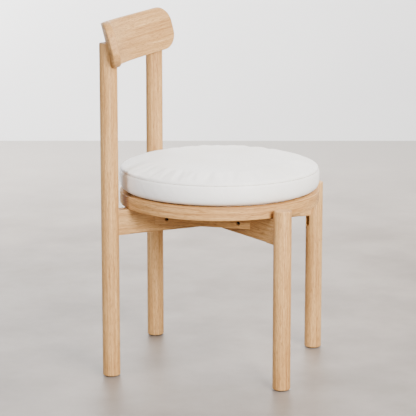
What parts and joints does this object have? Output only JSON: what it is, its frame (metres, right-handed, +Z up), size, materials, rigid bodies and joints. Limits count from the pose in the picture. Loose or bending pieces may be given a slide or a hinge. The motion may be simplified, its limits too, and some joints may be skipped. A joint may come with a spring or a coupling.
{
  "type": "dining chair",
  "caption": "Dining chair with round dowel legs, crossed rails under a wooden hoop, a round upholstered pad and a curved backrest between two posts.",
  "frame": {"origin": "on the floor, below the middle of the overall width and depth", "axes": "+Z up; the sitter faces -Y; +X is the sitter's left"},
  "size_m": [0.452, 0.4795, 0.7925],
  "materials": {
    "oak": "pale oak, thin matt lacquer, fine straight grain",
    "plywood": "birch plywood, unfinished",
    "beech_dowel": "turned beech dowel, unfinished",
    "screw_steel": "dark plated steel",
    "zinc_steel": "bright zinc plate",
    "foam": "pale polyurethane foam, open cells",
    "white_leather": "off-white coated leather, satin, fine grain",
    "dust_cloth": "black non-woven cloth",
    "felt": "pressed grey-brown felt"
  },
  "bodies": {
    "root": {"front_leg_left": "oak", "front_leg_right": "oak", "rear_post_left": "oak", "rear_post_right": "oak", "cross_rail_a": "oak", "cross_rail_b": "oak", "side_brace_left": "oak", "side_brace_right": "oak", "seat_hoop": "oak", "backrest": "oak", "seat_board": "plywood", "pad_board": "plywood", "backrest_dowels": "beech_dowel", "lap_screw": "screw_steel", "brace_screws": "screw_steel", "hoop_screws": "screw_steel", "board_screws": "screw_steel", "pad_screws": "zinc_steel", "pad_washers": "zinc_steel", "pad_nuts": "zinc_steel", "cover_staples": "zinc_steel", "glide_nails": "zinc_steel", "pad_foam": "foam", "cover_top": "white_leather", "cover_side": "white_leather", "cover_under": "white_leather", "dust_cloth": "dust_cloth", "foot_glides": "felt"}
  },
  "joints": []
}
